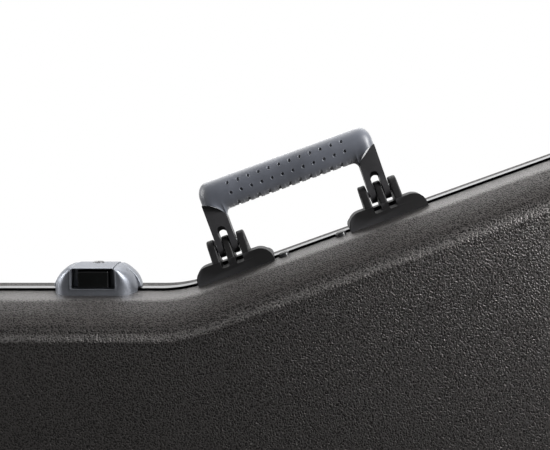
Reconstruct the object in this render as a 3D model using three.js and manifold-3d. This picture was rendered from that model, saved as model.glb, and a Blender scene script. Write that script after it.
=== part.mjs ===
// Moulded hard case for an acoustic guitar, standing on its hinge spine with the carrying handle up.
// Millimetres, +Z up, X along the case (headstock end -X, body end +X), lid half on -Y and
// base half on +Y. Origin: centre of the footprint, on the ground under the feet.
// The parting plane is y = 0.
import * as THREE from 'three';
import { mergeVertices } from 'three/addons/utils/BufferGeometryUtils.js';
import Module from 'manifold-3d';

const wasm = await Module();
wasm.setup();

// ---- driving dimensions ----
const HALF_LENGTH = 580;
const SPINE_Z = 10;             // outer wall of the hinge side
const NECK_Z = 331;             // outer wall over the neck section
const BODY_Z = 468;             // outer wall over the body section
const TAPER_Z0 = 360.8;         // height of the taper line at x = 0
const TAPER_SLOPE = 0.362;
const TAPER_ANGLE = Math.atan(TAPER_SLOPE);
const HEAD_RADIUS = 55;
const TAIL_RADIUS = 110;
const SHOULDER_RADIUS = 250;
const WAIST_RADIUS = 120;
const HALF_DEPTH = 88;          // parting plane to the flat of either face
const WALL = 3.6;
const FACE_INSIDE = HALF_DEPTH - WALL;
const AXIS_Z = 232;             // centre line of the instrument
const HANDLE_X = 33.3;          // middle of the handle, on the taper line
const BRACKET_X = 72.4;         // handle brackets, each way from the middle
const RUNNING_CLEARANCE = 0.06; // between a shaft and the flats of its bore
const CUT_HALF = 42;            // half width of cutters run past a latch's or bracket's ends

// ---- materials ----
const FINISH = {
  shell: { color: 0x2e2f31, roughness: 0.55, metalness: 0 },
  alloy: { color: 0xb9bdc2, roughness: 0.35, metalness: 1 },
  rubber: { color: 0x0d0d0e, roughness: 0.8, metalness: 0 },
  plush: { color: 0x1c1d22, roughness: 0.95, metalness: 0 },
  board: { color: 0x24252b, roughness: 0.9, metalness: 0 },
  ribbon: { color: 0x101012, roughness: 0.8, metalness: 0 },
  nylon: { color: 0x17181a, roughness: 0.5, metalness: 0 },
  steel: { color: 0x8d9095, roughness: 0.3, metalness: 1 },
  grip: { color: 0x2a2d33, roughness: 0.65, metalness: 0 },
  painted: { color: 0x7f858f, roughness: 0.35, metalness: 0.6 },
  trigger: { color: 0x111214, roughness: 0.45, metalness: 0 },
  brass: { color: 0xa7a9a8, roughness: 0.3, metalness: 1 },
};

// ---- outlines: lists of [x, y] pairs ----
const circle = (cx, cy, radius, sides) => Array.from({ length: sides }, (_, i) => {
  const angle = (i + 0.5) * 2 * Math.PI / sides;
  return [cx + radius * Math.cos(angle), cy + radius * Math.sin(angle)];
});
// polygon whose flats, not its corners, clear the shaft
const bore = (cx, cy, shaft, sides) =>
  circle(cx, cy, (shaft + RUNNING_CLEARANCE) / Math.cos(Math.PI / sides), sides);
// angles in degrees
const arc = (cx, cy, radius, from, to, steps) => Array.from({ length: steps + 1 }, (_, i) => {
  const angle = (from + (to - from) * i / steps) * Math.PI / 180;
  return [cx + radius * Math.cos(angle), cy + radius * Math.sin(angle)];
});
const rect = (x0, x1, z0, z1) => [[x0, z0], [x1, z0], [x1, z1], [x0, z1]];
const roundRect = (x0, x1, z0, z1, radius) => [
  ...arc(x1 - radius, z1 - radius, radius, 0, 90, 3),
  ...arc(x0 + radius, z1 - radius, radius, 90, 180, 3),
  ...arc(x0 + radius, z0 + radius, radius, 180, 270, 3),
  ...arc(x1 - radius, z0 + radius, radius, 270, 360, 3),
];
const mirrorX = (points) => points.map(([x, z]) => [-x, z]).reverse();

// ---- solids ----
const vectors = (points) => points.map(([x, y]) => new THREE.Vector2(x, y));
const basis = (...axes) =>
  new THREE.Matrix4().makeBasis(...axes.map((axis) => new THREE.Vector3(...axis)));
const shift = (x, y, z) => new THREE.Matrix4().makeTranslation(x, y, z);
const Y_TO_Z = basis([1, 0, 0], [0, 0, 1], [0, -1, 0]);
const XY_TO_YZ = basis([0, 1, 0], [0, 0, 1], [1, 0, 0]);

// prismX takes a [y, z] outline, prismY an [x, z] one and prismZ an [x, y] one
function prismZ(points, z0, z1, holes = []) {
  const shape = new THREE.Shape(vectors(points));
  for (const hole of holes) shape.holes.push(new THREE.Path(vectors(hole)));
  const options = { depth: z1 - z0, bevelEnabled: false, steps: 1 };
  return new THREE.ExtrudeGeometry(shape, options).translate(0, 0, z0);
}
const prismY = (points, y0, y1) =>
  prismZ(points, 0, y1 - y0).applyMatrix4(Y_TO_Z).translate(0, y1, 0);
const prismX = (points, x0, x1, holes) =>
  prismZ(points, 0, x1 - x0, holes).applyMatrix4(XY_TO_YZ).translate(x0, 0, 0);
const box = (x0, x1, y0, y1, z0, z1) => new THREE.BoxGeometry(x1 - x0, y1 - y0, z1 - z0)
  .translate((x0 + x1) / 2, (y0 + y1) / 2, (z0 + z1) / 2);
// profile of [radius, z], turned about Z
const turned = (profile, sides) =>
  new THREE.LatheGeometry(vectors(profile), sides).applyMatrix4(Y_TO_Z);

function weld(geometry) {
  const bare = geometry.clone();
  bare.deleteAttribute('normal');
  bare.deleteAttribute('uv');
  return mergeVertices(bare, 1e-4);
}
function toManifold(geometry) {
  const welded = weld(geometry);
  return new wasm.Manifold(new wasm.Mesh({
    numProp: 3,
    vertProperties: new Float32Array(welded.attributes.position.array),
    triVerts: new Uint32Array(welded.index.array),
  }));
}
function fromManifold(manifold) {
  const mesh = manifold.getMesh();
  const geometry = new THREE.BufferGeometry();
  geometry.setAttribute('position', new THREE.Float32BufferAttribute(mesh.vertProperties, 3));
  geometry.setIndex(Array.from(mesh.triVerts));
  return geometry;
}
const combine = (operation) => (first, ...others) => fromManifold(
  others.reduce((result, other) => result[operation](toManifold(other)), toManifold(first)));
const join = combine('add');
const cut = combine('subtract');
const common = combine('intersect');

// ---- outline of the case and lofts along it ----
const taperZ = (x) => TAPER_Z0 + TAPER_SLOPE * x;
const taperX = (z) => (z - TAPER_Z0) / TAPER_SLOPE;
const CORNERS = [
  { point: [-HALF_LENGTH, SPINE_Z], radius: HEAD_RADIUS, steps: 6 },
  { point: [HALF_LENGTH, SPINE_Z], radius: TAIL_RADIUS, steps: 7 },
  { point: [HALF_LENGTH, BODY_Z], radius: TAIL_RADIUS, steps: 7 },
  { point: [taperX(BODY_Z), BODY_Z], radius: SHOULDER_RADIUS, steps: 3 },
  { point: [taperX(NECK_Z), NECK_Z], radius: WAIST_RADIUS, steps: 3 },
  { point: [-HALF_LENGTH, NECK_Z], radius: HEAD_RADIUS, steps: 6 },
];
function direction(from, to) {
  const length = Math.hypot(to[0] - from[0], to[1] - from[1]);
  return [(to[0] - from[0]) / length, (to[1] - from[1]) / length];
}
// the case outline as [x, z], moved inwards by the inset
function ring(inset) {
  const count = CORNERS.length;
  return CORNERS.flatMap(({ point, radius, steps }, i) => {
    const before = direction(CORNERS[(i + count - 1) % count].point, point);
    const after = direction(point, CORNERS[(i + 1) % count].point);
    const turn = Math.atan2(
      before[0] * after[1] - before[1] * after[0],
      before[0] * after[0] + before[1] * after[1]);
    const sign = Math.sign(turn);
    const tangent = radius * Math.tan(Math.abs(turn) / 2);
    const start = [point[0] - before[0] * tangent, point[1] - before[1] * tangent];
    const centre = [start[0] - before[1] * radius * sign, start[1] + before[0] * radius * sign];
    const startAngle = Math.atan2(start[1] - centre[1], start[0] - centre[0]);
    const insetRadius = radius - sign * inset;
    return Array.from({ length: steps + 1 }, (_, k) => {
      const angle = startAngle + turn * k / steps;
      return [
        centre[0] + insetRadius * Math.cos(angle),
        centre[1] + insetRadius * Math.sin(angle),
      ];
    });
  });
}
// turn every face round when the enclosed volume comes out negative
function faceOutward(geometry) {
  const index = Array.from(geometry.index.array);
  const corner = (i) =>
    new THREE.Vector3().fromBufferAttribute(geometry.attributes.position, index[i]);
  let volume = 0;
  for (let i = 0; i < index.length; i += 3) {
    volume += corner(i).dot(corner(i + 1).cross(corner(i + 2)));
  }
  if (volume < 0) {
    for (let i = 0; i < index.length; i += 3) {
      [index[i + 1], index[i + 2]] = [index[i + 2], index[i + 1]];
    }
    geometry.setIndex(index);
  }
  return geometry;
}
// Profile: list of [inset, y]. A closed one joins its last ring to its first,
// an open one is capped at both ends.
function loft(profile, closed = false) {
  const rings = profile.map(([inset, y]) => ring(inset).map(([x, z]) => [x, y, z]));
  const count = rings[0].length;
  const index = [];
  const bands = closed ? rings.length : rings.length - 1;
  for (let k = 0; k < bands; k++) {
    const near = k * count;
    const far = ((k + 1) % rings.length) * count;
    for (let i = 0; i < count; i++) {
      const j = (i + 1) % count;
      index.push(near + i, far + i, near + j, near + j, far + i, far + j);
    }
  }
  if (!closed) {
    const cap = (k) => THREE.ShapeUtils.triangulateShape(vectors(ring(profile[k][0])), []);
    const last = rings.length - 1;
    const base = last * count;
    for (const [i, j, k] of cap(0)) index.push(i, j, k);
    for (const [i, j, k] of cap(last)) index.push(base + i, base + k, base + j);
  }
  const geometry = new THREE.BufferGeometry();
  geometry.setAttribute('position', new THREE.Float32BufferAttribute(rings.flat(2), 3));
  geometry.setIndex(index);
  return faceOutward(geometry);
}
const toLidSide = (profile) => profile.map(([inset, y]) => [inset, -y]);

// ---- assembly ----
const group = new THREE.Group();
group.name = 'guitar_case';
function add(name, geometry, finish, matrix = new THREE.Matrix4()) {
  const faceted = weld(geometry.clone().applyMatrix4(matrix)).toNonIndexed();
  faceted.computeVertexNormals();
  const mesh = new THREE.Mesh(faceted, new THREE.MeshStandardMaterial(finish));
  mesh.name = name;
  group.add(mesh);
}
// handle frame: x up the taper, y as in the case, z out of the wall
const HANDLE_FRAME = basis(
  [Math.cos(TAPER_ANGLE), 0, Math.sin(TAPER_ANGLE)],
  [0, 1, 0],
  [-Math.sin(TAPER_ANGLE), 0, Math.cos(TAPER_ANGLE)],
).setPosition(HANDLE_X, 0, taperZ(HANDLE_X));
const onHandle = (x, y) => HANDLE_FRAME.clone().multiply(shift(x, y, 0));
const SIDES = [['left', -1], ['right', 1]];   // left is -X

// ---- shells and rims: profiles of [inset, y] ----
const SCREW_Y = 14.8;
const SCREW_SPREAD = 24;        // handle screws, each way from a bracket's middle
const SCREW_XS = [-BRACKET_X, BRACKET_X].flatMap((x) => [x - SCREW_SPREAD, x + SCREW_SPREAD]);
const screwHoles = (xs, radius, z0, z1) =>
  xs.map((x) => prismZ(circle(x, SCREW_Y, radius, 10), z0, z1));

// from the flat face round the shoulder and down the drafted wall
const OUTER_SKIN = [
  [30.2, HALF_DEPTH], [24.4, 85.8], [20.9, 83.7], [17.6, 82], [12.8, 74.2], [7.2, 58], [2.3, 40],
];
// from the wall back up to the inside of the face
const INNER_SKIN = [
  [6.2, 41], [11, 59.5], [15.8, 71], [19.6, 77.8], [24.6, 80.4], [29.5, FACE_INSIDE],
];
const shellProfile = (rimY) => [...OUTER_SKIN, [0, rimY], [WALL, rimY], ...INNER_SKIN];
const shellHoles = screwHoles(SCREW_XS, 2.6, -9, 4).map((hole) => hole.applyMatrix4(HANDLE_FRAME));
add('base_shell', cut(loft(shellProfile(2.3)), ...shellHoles), FINISH.shell);
add('lid_shell', loft(toLidSide(shellProfile(2.0))), FINISH.shell);

add('base_valance', loft([
  [-0.95, 0.3], [-0.95, 9.5], [-0.25, 9.5], [-0.25, 2.0],
  [4.3, 2.0], [4.3, 8], [5.4, 8], [5.4, 0.3],
], true), FINISH.alloy);
add('rim_seal', loft([[-0.75, -1.7], [-0.75, 0], [3.6, 0], [3.6, -1.7]], true), FINISH.rubber);
add('lid_valance', loft([
  [4.4, -10], [7.2, -10], [7.2, 3], [5.9, 3], [5.9, -0.3], [4.4, -0.3],
], true), FINISH.alloy);

// ---- interior padding ----
// outside of the padding, [inset, y]
const PAD_SKIN = [
  [8.8, 5], [9.4, 43], [12, 58], [17, 68.6], [23, 75], [28.5, 79], [33.5, FACE_INSIDE - 0.7],
];
// inside of the lid lining, [inset, y] before it is turned to the lid side
const LINING_INSIDE = [[17.2, 41], [18.6, 51], [22.4, 61], [28, 67.6], [33.5, 71.6], [37, 75.4]];
// half outline of the body pocket, [x, distance from the instrument's centre line]
const BODY_HALF = [
  [552, 0], [549, 60], [527, 128], [470, 184], [400, 203], [330, 190], [272, 150],
  [236, 134], [190, 142], [140, 151], [96, 136], [66, 96], [58, 30],
];
const DOOR = { x0: -298, x1: -77, z0: 47.9, z1: 117.5, y0: 5, thickness: 3.6 };
const TAB = { x0: -197, x1: -177 };

function bodyPocket() {
  const curve = new THREE.CatmullRomCurve3(BODY_HALF.map(([x, h]) => new THREE.Vector3(x, h, 0)));
  const bout = curve.getPoints(26).map(({ x, y }) => [x, Math.max(0, y)]);
  return [
    ...bout.map(([x, h]) => [x, AXIS_Z + h]),
    ...bout.slice(1).reverse().map(([x, h]) => [x, AXIS_Z - h]),
  ];
}
function baseFoam() {
  const headPocket = roundRect(-548, -330, AXIS_Z - 72, AXIS_Z + 72, 14);
  const doorSeat = rect(DOOR.x0 - 1, DOOR.x1 + 1, DOOR.z0 - 0.7, DOOR.z1 + 1);
  const tabNotch = rect(TAB.x0 - 3, TAB.x1 + 3, DOOR.z1 - 1, DOOR.z1 + 9);
  return cut(loft(PAD_SKIN),
    prismY(bodyPocket(), -2, 75),
    box(-340, 70, -2, 52, AXIS_Z - 38, AXIS_Z + 38),   // neck channel
    prismY(headPocket, -2, 62),
    prismY(doorSeat, 0, DOOR.y0 + DOOR.thickness + 0.6),
    prismY(tabNotch, 0, 8),
    prismY(roundRect(-291, -84, 54, 111, 8), 0, 72));  // compartment behind the door
}
add('base_foam', baseFoam(), FINISH.plush);
add('neck_cradle', cut(
  box(-196, -136, 18, 51.6, AXIS_Z - 37.5, AXIS_Z + 37.5),
  prismX(circle(18, AXIS_Z, 29, 20), -200, -130)), FINISH.plush);
add('compartment_door', prismY(
  rect(DOOR.x0, DOOR.x1, DOOR.z0, DOOR.z1), DOOR.y0, DOOR.y0 + DOOR.thickness), FINISH.board);
add('compartment_pull_tab', box(
  TAB.x0, TAB.x1, DOOR.y0 - 1.5, DOOR.y0 - 0.3, DOOR.z1 - 12, DOOR.z1 + 4), FINISH.ribbon);
add('lid_lining', loft(toLidSide(
  [...PAD_SKIN.slice().reverse(), [16.8, 5], ...LINING_INSIDE])), FINISH.plush);

// ---- hinges on the spine: x from the middle of the hinge ----
const HINGE_XS = [-380, 0, 330];
const HINGE_AXIS_Z = 4.5;
const HINGE_HALF = 28;
const HINGE_PIN_RADIUS = 1.6;
const LEAF_Z0 = HINGE_AXIS_Z + 2.1;
const LEAF_Z1 = LEAF_Z0 + 1.5;
const BASE_KNUCKLE_X = 10;      // inner end of the base leaf's two knuckles
const LID_KNUCKLE_X = 9.6;      // half length of the lid leaf's middle knuckle

const knuckle = (x0, x1) => prismX(circle(0, HINGE_AXIS_Z, 3.6, 16), x0, x1,
  [bore(0, HINGE_AXIS_Z, HINGE_PIN_RADIUS, 12)]);
const baseLeaf = () => join(
  knuckle(-HINGE_HALF, -BASE_KNUCKLE_X),
  knuckle(BASE_KNUCKLE_X, HINGE_HALF),
  box(-HINGE_HALF, -BASE_KNUCKLE_X, 0, 24, LEAF_Z0, LEAF_Z1),
  box(BASE_KNUCKLE_X, HINGE_HALF, 0, 24, LEAF_Z0, LEAF_Z1),
  box(-HINGE_HALF, HINGE_HALF, 4, 24, LEAF_Z0, LEAF_Z1),
  box(-HINGE_HALF, HINGE_HALF, 12.8, 23, LEAF_Z0 + 1, 10.1));
const lidLeaf = () => join(
  knuckle(-LID_KNUCKLE_X, LID_KNUCKLE_X),
  box(-LID_KNUCKLE_X, LID_KNUCKLE_X, -24, 0, LEAF_Z0, LEAF_Z1),
  box(-HINGE_HALF, HINGE_HALF, -24, -4.2, LEAF_Z0, LEAF_Z1),
  box(-HINGE_HALF, HINGE_HALF, -23, -5.5, LEAF_Z0 + 1, 9.6));
HINGE_XS.forEach((x, i) => {
  const place = shift(x, 0, 0);
  const pin = prismX(circle(0, HINGE_AXIS_Z, HINGE_PIN_RADIUS, 12), -29.5, 29.5);
  add(`hinge_base_leaf_${i + 1}`, baseLeaf(), FINISH.steel, place);
  add(`hinge_lid_leaf_${i + 1}`, lidLeaf(), FINISH.steel, place);
  add(`hinge_pin_${i + 1}`, pin, FINISH.steel, place);
});

// ---- feet ----
const FOOT_OUTLINE = [[-30, 10.4], [-28, 2], [-26, 0], [26, 0], [28, 2], [30, 10.4]];
for (const [side, footX] of [['left', -485], ['right', 435]]) {
  const place = shift(footX, 0, 0);
  add(`base_foot_${side}`, prismY(FOOT_OUTLINE, 18, 44), FINISH.rubber, place);
  add(`lid_foot_${side}`, prismY(FOOT_OUTLINE, -44, -18), FINISH.rubber, place);
}

// ---- latches: x along the wall from the latch's middle, z above the wall ----
const LATCHES = [
  { name: 'head', x: -480, wallZ: NECK_Z, locked: false },
  { name: 'centre', x: -161, wallZ: NECK_Z, locked: true },
  { name: 'body', x: 402, wallZ: BODY_Z, locked: false },
];
const HASP_PIN = { y: 20, z: 9.5, radius: 1.8 };
const HASP_BORE = bore(HASP_PIN.y, HASP_PIN.z, HASP_PIN.radius, 12);
const LOCK = { y: 8, radius: 5 };
const SPRING = { radius: 2.5, wire: 0.45, y0: -17.1, y1: -11.4, z: 13.4, steps: 24 };
// +X half of the latch outline seen along Y, [x, z]
const LATCH_HALF = [
  [39, -2.5], [39, 0.6], [38.4, 4], [36.8, 9], [34.0, 14], [30, 18.4], [26, 21.6], [23, 22.6],
];
const LATCH_OUTLINE = [...LATCH_HALF, ...mirrorX(LATCH_HALF)];
// the trigger seen along X, [y, z]
const TRIGGER_SIDE = [
  [-23.6, 5.8], [-22.4, 4.4], [-14.6, 4.4], [-14.6, 19.9], [-22.2, 19.9], [-23.6, 18.5],
];
// the hasp seen along X, [y, z]: top plate curling down round the pin
const HASP_SIDE = [
  [-24, 22.0], [-24, 22.5], [-23.4, 22.9], [21, 22.9], [23.4, 21.9], [24.2, 19.6],
  ...arc(HASP_PIN.y, HASP_PIN.z, 4.2, 0, -180, 6),
  [16.6, 12.6], [18.6, 14.6], [19.8, 17.4], [19.2, 19.8], [17.4, 20.9], [-19, 20.9],
].reverse();

const latchHousing = () => cut(prismY(LATCH_OUTLINE, -24, -0.5),
  prismX([[-27, -1.23], [1, 0.48], [1, -6], [-27, -6]], -CUT_HALF, CUT_HALF),  // wall draft
  box(-18.6, 18.6, -26, 1, 20.6, 25),          // hasp plate recess
  box(-19.2, 19.2, -26, -10.5, 3.5, 21),       // trigger bay
  box(-3.6, 3.6, -10, 1, 14.4, 21),            // slot for the hasp's tooth
  box(-CUT_HALF, CUT_HALF, -2.1, 1, -3, 1.2)); // relief over the rim
const trigger = () => cut(prismX(TRIGGER_SIDE, -14.7, 14.7), box(-3.7, 3.7, -21, -14, 9.7, 17.1));
function triggerSpring() {
  const { radius, wire, y0, y1, z, steps } = SPRING;
  const points = Array.from({ length: steps + 1 }, (_, i) => {
    const angle = i * Math.PI / 4;
    return new THREE.Vector3(
      radius * Math.cos(angle), y0 + (y1 - y0) * i / steps, z + radius * Math.sin(angle));
  });
  return new THREE.ExtrudeGeometry(new THREE.Shape(vectors(circle(0, 0, wire, 5))), {
    steps, bevelEnabled: false, extrudePath: new THREE.CatmullRomCurve3(points),
  });
}
function haspMount() {
  const side = [[0, -3], [28, -3], [27, 15.5], [25.6, 20], [23, 22.8], [0, 22.8]];
  const underside = [[0, 1.3], [10, 1.3], [10.1, -0.1], [28, -0.6], [28, -6], [0, -6]];
  return cut(
    common(prismY(LATCH_OUTLINE, 0.5, 27), prismX(side, -CUT_HALF, CUT_HALF)),
    prismX(underside, -CUT_HALF, CUT_HALF),
    box(-18.7, 18.7, 0, 29, 3.2, 25),          // bay the hasp swings in
    prismX(HASP_BORE, -23, 23));
}
function hasp(locked) {
  const plate = join(prismX(HASP_SIDE, -18.1, 18.1, [HASP_BORE]), box(-3, 3, -8, -4, 15.2, 21.4));
  return locked ? cut(plate, prismZ(bore(0, LOCK.y, LOCK.radius, 16), 14, 26)) : plate;
}
const lockCylinder = () => cut(
  prismZ(circle(0, LOCK.y, LOCK.radius, 16), 17, 23.5),
  box(-0.6, 0.6, LOCK.y - 3, LOCK.y + 3, 20.6, 25));   // key slot
for (const { name, x, wallZ, locked } of LATCHES) {
  const place = shift(x, 0, wallZ);
  const pin = prismX(circle(HASP_PIN.y, HASP_PIN.z, HASP_PIN.radius, 12), -22.6, 22.6);
  add(`latch_housing_${name}`, latchHousing(), FINISH.painted, place);
  add(`trigger_${name}`, trigger(), FINISH.trigger, place);
  add(`trigger_spring_${name}`, triggerSpring(), FINISH.steel, place);
  add(`hasp_mount_${name}`, haspMount(), FINISH.painted, place);
  add(`hasp_pin_${name}`, pin, FINISH.steel, place);
  add(`hasp_${name}`, hasp(locked), FINISH.painted, place);
  if (locked) add('lock_cylinder', lockCylinder(), FINISH.brass, place);
}

// ---- handle brackets, in the handle frame ----
const PIVOT = { y: 3, z: 23.6, radius: 3.2 };
const PIVOT_BORE = bore(PIVOT.y, PIVOT.z, PIVOT.radius, 16);
const EYE_RADIUS = 9.2;         // rounded end of the lugs and forks about the pivot
const BRACKET_HALF = 36.3;
const LUG_PITCH = 14.7;
const LUG_HALF = 2.65;
const SLOT_END = LUG_PITCH - LUG_HALF;
// a lug seen along X, [y, z]
const LUG_SIDE = [
  [-12, 5], [20, 5], [20, 10.5], [16.4, 14.5],
  ...arc(PIVOT.y, PIVOT.z, EYE_RADIUS, 0, 180, 8), [-9.8, 14.5], [-12, 10.5],
];
// underside fitted over the valance and the wall, [y, z]
const BRACKET_UNDERSIDE = [
  [-14, 0.0], [-2.6, 0.4], [-2.5, 1.5], [10.2, 1.5], [10.3, 0.2], [22, -0.1], [22, -4], [-14, -4],
];
function roundedBlock(radius, steps, y0, y1) {
  const end = arc(BRACKET_HALF - radius, 0.9, radius, 0, 90, steps);
  return prismY([[BRACKET_HALF, -1], ...end, ...mirrorX(end), [-BRACKET_HALF, -1]], y0, y1);
}
function handleBracket() {
  const body = cut(
    join(roundedBlock(12.6, 5, -12, 3), roundedBlock(6.6, 3, 0, 20)),
    box(-SLOT_END, -LUG_HALF, -14, 22, 7.5, 16),
    box(LUG_HALF, SLOT_END, -14, 22, 7.5, 16));
  const lugs = [-LUG_PITCH, 0, LUG_PITCH].map((x) => prismX(LUG_SIDE, x - LUG_HALF, x + LUG_HALF));
  return cut(join(body, ...lugs),
    prismX(BRACKET_UNDERSIDE, -CUT_HALF, CUT_HALF),
    prismX(PIVOT_BORE, -20, 20),
    ...screwHoles([-SCREW_SPREAD, SCREW_SPREAD], 2.6, -3, 11));
}
for (const [side, sign] of SIDES) {
  const place = onHandle(sign * BRACKET_X, 0);
  const pin = prismX(circle(PIVOT.y, PIVOT.z, PIVOT.radius, 16), -16.9, 16.9);
  add(`handle_bracket_${side}`, handleBracket(), FINISH.nylon, place);
  add(`handle_pin_${side}`, pin, FINISH.steel, place);
}

// fastener profiles, [radius, z]
const SCREW = [[0, -8.1], [2.2, -8.1], [2.2, 7.7], [3.9, 7.7], [3.9, 9.4], [3, 10.4], [0, 10.4]];
const RIVET = [[0, 0.25], [5, 0.25], [4.9, 1.0], [3.9, 1.9], [2, 2.3], [0, 2.4]];
SCREW_XS.forEach((x, i) => {
  add(`handle_screw_${i + 1}`, turned(SCREW, 10), FINISH.steel, onHandle(x, SCREW_Y));
});
add('handle_backing_plate', cut(
  prismY(rect(-103, 103, -7.7, -5.3), 9.5, 21),
  ...screwHoles(SCREW_XS, 2.5, -9, -4)), FINISH.steel, HANDLE_FRAME);
for (const [side, sign] of SIDES) {
  add(`valance_rivet_${side}`, turned(RIVET, 12), FINISH.nylon, onHandle(sign * 27, -7.7));
}

// ---- folding handle: stiff core with two forks, soft grip moulded over it ----
const ARM_HALF = 9.25;
const ARM_IN = BRACKET_X - ARM_HALF;
const ARM_OUT = BRACKET_X + ARM_HALF;
const GRIP_TOP = 84.0;
const GRIP_LOW = 54.4;
const GRIP_MID = (GRIP_TOP + GRIP_LOW) / 2;
const GRIP_HALF_Y = 13;
const GRIP_EDGE = 10;           // rounding of the top edges, seen along X
const GRIP_CORNER = 13;         // rounding of the top corners, seen along Y
const GRIP_FILLET = 8;          // rounding inside, between grip and arms

// joint line between fork and grip on the +X arm, [x, z], raised by the lift
const seam = (lift) => [
  [ARM_IN, 48.6], [ARM_IN + 1.2, 54], [ARM_IN + 4.2, 58.6], [ARM_IN + 8.2, 61.8],
  [BRACKET_X + 3.6, 64], [ARM_OUT, 65.2],
].map(([x, z]) => [x, z + lift]);

function arm(sign) {
  const mirrored = (points) => (sign > 0 ? points : mirrorX(points));
  const outline = [[ARM_IN, 14], [ARM_OUT, 14], ...seam(0).reverse()];
  const slot = [
    [BRACKET_X - 4.05, 13], [BRACKET_X + 4.05, 13], ...arc(BRACKET_X, 38.6, 4.05, 0, 180, 6),
  ];
  const side = [
    ...arc(PIVOT.y, PIVOT.z, EYE_RADIUS, 180, 360, 10),
    [PIVOT.y + 8, 34], [PIVOT.y + 8, 70], [PIVOT.y - 8, 70], [PIVOT.y - 8, 34],
  ];
  return common(
    cut(prismY(mirrored(outline), -12, 18), prismY(mirrored(slot), -13, 19)),
    prismX(side, sign * BRACKET_X - 12, sign * BRACKET_X + 12));
}
// square bar running up both arms and along the grip
function coreBar(half) {
  const inner = BRACKET_X - half;
  const outer = BRACKET_X + half;
  const low = GRIP_MID - half;
  const high = GRIP_MID + half;
  return prismY([
    [outer, 48], [outer, high], [-outer, high], [-outer, 48],
    [-inner, 48], [-inner, low], [inner, low], [inner, 48],
  ], PIVOT.y - half, PIVOT.y + half);
}
function handleGrip() {
  const joint = seam(0.35);
  const corner = arc(ARM_OUT - GRIP_CORNER, GRIP_TOP - GRIP_CORNER, GRIP_CORNER, 0, 90, 4);
  const filletX = ARM_IN - GRIP_FILLET;
  const filletZ = GRIP_LOW - GRIP_FILLET;
  const outline = [
    ...joint.slice(1), ...corner, ...mirrorX(corner), ...mirrorX(joint),
    ...arc(-filletX, filletZ, GRIP_FILLET, 163, 90, 3),
    ...arc(filletX, filletZ, GRIP_FILLET, 90, 17, 3),
    joint[0],
  ];
  const edgeY = GRIP_HALF_Y - GRIP_EDGE;
  const side = [
    [PIVOT.y + GRIP_HALF_Y, 45],
    ...arc(PIVOT.y + edgeY, GRIP_TOP - GRIP_EDGE, GRIP_EDGE, 0, 90, 4),
    ...arc(PIVOT.y - edgeY, GRIP_TOP - GRIP_EDGE, GRIP_EDGE, 90, 180, 4),
    [PIVOT.y - GRIP_HALF_Y, 45],
  ];
  const block = prismY(outline, PIVOT.y - GRIP_HALF_Y, PIVOT.y + GRIP_HALF_Y);
  return cut(common(block, prismX(side, -100, 100)), coreBar(4.8));
}
add('handle_core', cut(
  join(arm(1), arm(-1), coreBar(4.5)),
  prismX(PIVOT_BORE, -BRACKET_X - 14, BRACKET_X + 14)), FINISH.nylon, HANDLE_FRAME);
add('handle_grip', handleGrip(), FINISH.grip, HANDLE_FRAME);

export default group;
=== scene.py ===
"""Hard instrument case with a carry handle, three latches, hinges, feet and a plush interior.

The case stands on its straight hinge side at z = 0, with the handle on top. Length runs along x
(neck end at -x, body end at +x) and thickness along y: the lid is at -y, facing the camera, and
the base at +y, parting at y = 0. Geometry is built in millimetres; place() scales it to metres.
"""
import math

import bmesh
import bpy
import numpy as np
from mathutils import Matrix, Vector


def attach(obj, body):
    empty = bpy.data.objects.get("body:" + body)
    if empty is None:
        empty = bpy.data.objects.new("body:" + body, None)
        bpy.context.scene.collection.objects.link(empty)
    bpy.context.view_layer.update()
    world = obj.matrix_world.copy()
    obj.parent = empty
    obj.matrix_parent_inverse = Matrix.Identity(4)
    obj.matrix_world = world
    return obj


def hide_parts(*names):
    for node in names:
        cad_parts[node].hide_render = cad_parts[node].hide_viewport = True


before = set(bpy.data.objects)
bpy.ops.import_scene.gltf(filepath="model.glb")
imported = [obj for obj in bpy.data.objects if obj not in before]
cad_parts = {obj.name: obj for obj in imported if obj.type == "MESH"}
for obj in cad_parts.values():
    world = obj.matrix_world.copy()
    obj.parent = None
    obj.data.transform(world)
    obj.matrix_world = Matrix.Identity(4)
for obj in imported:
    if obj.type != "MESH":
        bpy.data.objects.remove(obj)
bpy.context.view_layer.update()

MM = 0.001
collection = bpy.context.scene.collection


# ---------------------------------------------------------------- mesh tools (mm)
def make(verts, faces, name='part'):
    mesh = bpy.data.meshes.new(name)
    mesh.from_pydata(verts, [], faces)
    mesh.validate()
    mesh.update()
    obj = bpy.data.objects.new(name, mesh)
    collection.objects.link(obj)
    return obj


def face_outward(obj):
    bm = bmesh.new()
    bm.from_mesh(obj.data)
    bmesh.ops.recalc_face_normals(bm, faces=bm.faces[:])
    bm.to_mesh(obj.data)
    bm.free()
    return obj


def solid(verts, faces):
    return face_outward(make(verts, faces))


def drop(obj):
    mesh = obj.data
    bpy.data.objects.remove(obj)
    if mesh.users == 0:
        bpy.data.meshes.remove(mesh)


def bake(obj):
    """Replace the mesh by its modified result."""
    depsgraph = bpy.context.evaluated_depsgraph_get()
    mesh = bpy.data.meshes.new_from_object(obj.evaluated_get(depsgraph))
    old = obj.data
    obj.modifiers.clear()
    obj.data = mesh
    if old.users == 0:
        bpy.data.meshes.remove(old)
    return obj


def cut(obj, *tools, operation='DIFFERENCE'):
    for tool in tools:
        mod = obj.modifiers.new('boolean', 'BOOLEAN')
        mod.object = tool
        mod.operation = operation
        mod.solver = 'EXACT'
    bake(obj)
    for tool in tools:
        drop(tool)
    return obj


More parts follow.
